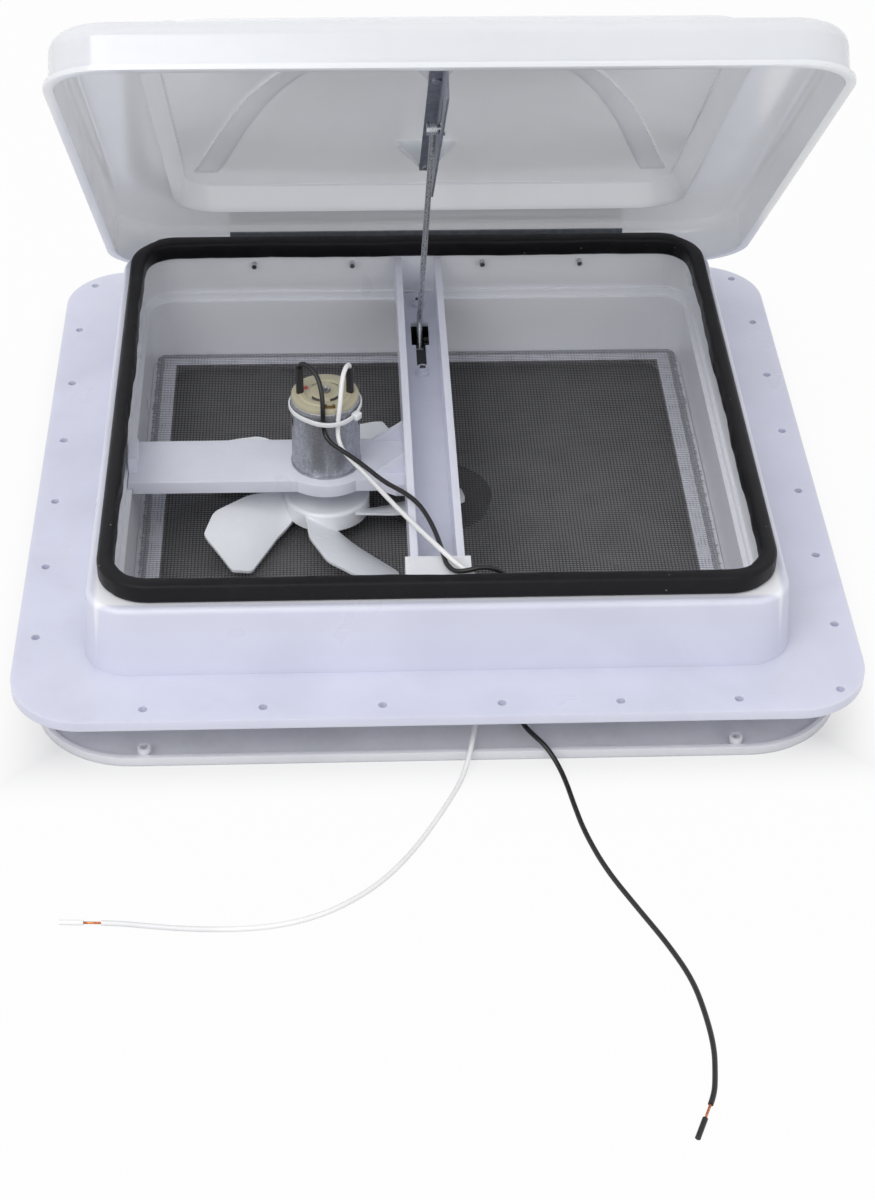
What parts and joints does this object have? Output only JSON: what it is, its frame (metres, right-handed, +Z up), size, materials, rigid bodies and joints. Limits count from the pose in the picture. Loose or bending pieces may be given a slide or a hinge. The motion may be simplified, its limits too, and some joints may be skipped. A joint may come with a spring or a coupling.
{
  "type": "caravan roof vent",
  "caption": "White square caravan roof vent with a hinged dome lid standing open, a centre channel with a lift arm, a small fan motor with bare leads, and an insect screen.",
  "frame": {"origin": "centre of the flange's screw pattern on the roof plane", "axes": "+Z up out of the roof, +Y to the hinge side, +X to the right seen from the front"},
  "size_m": [0.436, 0.6749, 0.3386],
  "materials": {
    "white_plastic": "moulded, satin gloss",
    "black_rubber": "satin",
    "dark_net": "woven net",
    "dark_steel": "galvanised, blue-grey",
    "bright_steel": "bright zinc",
    "black_plastic": "moulded, satin",
    "zinc_can": "mottled zinc",
    "cream_plastic": "moulded, satin",
    "brass_tab": "bright",
    "black_sheath": "smooth PVC",
    "white_sheath": "smooth PVC",
    "copper": "stranded, bright"
  },
  "bodies": {
    "body": {"base": "white_plastic", "rim_seal": "black_rubber", "hinge_base_leaf": "dark_steel", "hinge_pin": "bright_steel", "hinge_curb_screws": "bright_steel", "centre_channel": "white_plastic", "channel_screws": "bright_steel", "operator_housing": "black_plastic", "arm_pivot_pin": "bright_steel", "fan_strut": "white_plastic", "motor_can": "zinc_can", "motor_end_cap": "cream_plastic", "motor_terminals": "brass_tab", "terminal_sleeves": "black_sheath", "motor_screws": "bright_steel", "cable_tie": "white_plastic", "interior_trim": "white_plastic", "insect_screen": "dark_net", "lead_black": "black_sheath", "lead_white": "white_sheath", "copper_black": "copper", "copper_white": "copper", "tip_black": "black_sheath", "tip_white": "white_sheath"},
    "lid_body": {"lid": "white_plastic", "hinge_lid_leaf": "dark_steel", "hinge_lid_rivets": "bright_steel", "lid_bracket": "dark_steel", "bracket_rivets": "bright_steel"},
    "arm_body": {"lift_arm": "bright_steel", "arm_slot_pin": "bright_steel", "worm_wheel": "black_plastic"},
    "worm_body": {"worm_shaft": "bright_steel", "shaft_bevel_gear": "black_plastic"},
    "crank_body": {"crank_handle": "black_plastic", "crank_spindle": "bright_steel", "spindle_bevel_gear": "black_plastic"},
    "fan_body": {"fan": "white_plastic", "motor_shaft": "bright_steel"}
  },
  "joints": [
    {"name": "lid_hinge", "type": "hinge", "parent": "body", "child": "lid_body", "pos_m": [0, 0.183, 0.0335], "axis": [-1, 0, 0], "range_deg": [-44, 2]},
    {"name": "arm_pivot", "type": "hinge", "parent": "body", "child": "arm_body", "pos_m": [0, 0.115, 0.0055], "axis": [-1, 0, 0], "range_deg": [-57.2, 2.6]},
    {"name": "worm_turn", "type": "hinge", "parent": "body", "child": "worm_body", "pos_m": [0.0042, 0.09, -0.0101], "axis": [0, 1, 0], "range_deg": [-1372.8, 62.4]},
    {"name": "crank_turn", "type": "hinge", "parent": "body", "child": "crank_body", "pos_m": [0.0042, 0.05, -0.02], "axis": [0, 0, 1], "range_deg": [-1372.8, 62.4]},
    {"name": "fan_spin", "type": "hinge", "parent": "body", "child": "fan_body", "pos_m": [-0.057, -0.0132, -0.008], "axis": [0, 0, 1], "continuous": true}
  ],
  "couplings": [
    {"joint": "arm_pivot", "follows": "lid_hinge", "ratio": 1.3},
    {"joint": "worm_turn", "follows": "lid_hinge", "ratio": 31.2},
    {"joint": "crank_turn", "follows": "lid_hinge", "ratio": 31.2}
  ]
}
